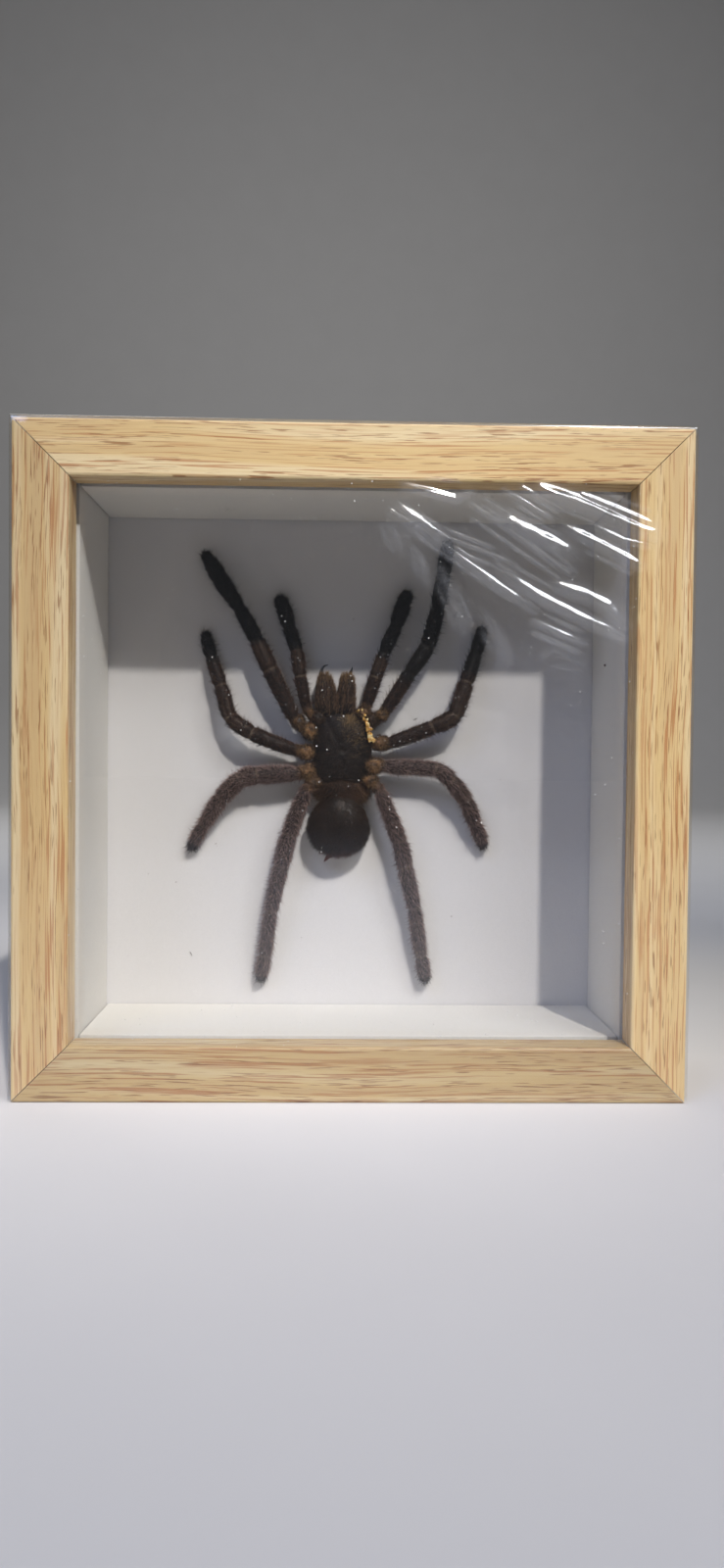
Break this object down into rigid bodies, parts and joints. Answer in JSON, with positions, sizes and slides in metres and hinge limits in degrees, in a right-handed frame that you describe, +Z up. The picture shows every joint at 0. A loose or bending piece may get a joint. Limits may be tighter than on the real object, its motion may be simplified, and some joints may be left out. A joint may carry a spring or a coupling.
{
  "type": "framed tarantula specimen",
  "caption": "Dried tarantula laid out on a white card inside a square glazed shadow-box frame of light wood, with clear film over its front.",
  "frame": {"origin": "under the middle of the part, on the flat underside of the lower rail", "axes": "+X to the right of the glass as seen from the front, +Y from the glass to the back board, +Z up"},
  "size_m": [0.151, 0.0484, 0.1505],
  "materials": {
    "oak_foil": "light oak grain foil, satin",
    "glass": "clear float glass",
    "white_liner": "white paper-faced foam board",
    "white_card": "matt white card",
    "hardboard": "brown hardboard",
    "steel": "zinc plated strip",
    "brassed_steel": "brass plated steel",
    "clear_film": "thin clear shrink film, glossy",
    "spider": "dark brown hairy cuticle",
    "fang": "glossy black",
    "spinneret": "red-brown hairy cuticle"
  },
  "bodies": {
    "root": {"rail_top": "oak_foil", "rail_right": "oak_foil", "rail_bottom": "oak_foil", "rail_left": "oak_foil", "glass_pane": "glass", "liner_top": "white_liner", "liner_right": "white_liner", "liner_bottom": "white_liner", "liner_left": "white_liner", "mount_card": "white_card", "back_board": "hardboard", "tab_top": "steel", "tab_right": "steel", "tab_bottom": "steel", "tab_left": "steel", "sawtooth_hanger": "brassed_steel", "tack_left": "brassed_steel", "tack_right": "brassed_steel", "wrap_film": "clear_film", "carapace": "spider", "abdomen": "spider", "chelicera_left": "spider", "chelicera_right": "spider", "fang_left": "fang", "fang_right": "fang", "palp_left": "spider", "palp_right": "spider", "leg_1_left": "spider", "leg_1_right": "spider", "leg_2_left": "spider", "leg_2_right": "spider", "leg_3_left": "spider", "leg_3_right": "spider", "leg_4_left": "spider", "leg_4_right": "spider", "spinneret_left": "spinneret", "spinneret_right": "spinneret"}
  },
  "joints": []
}
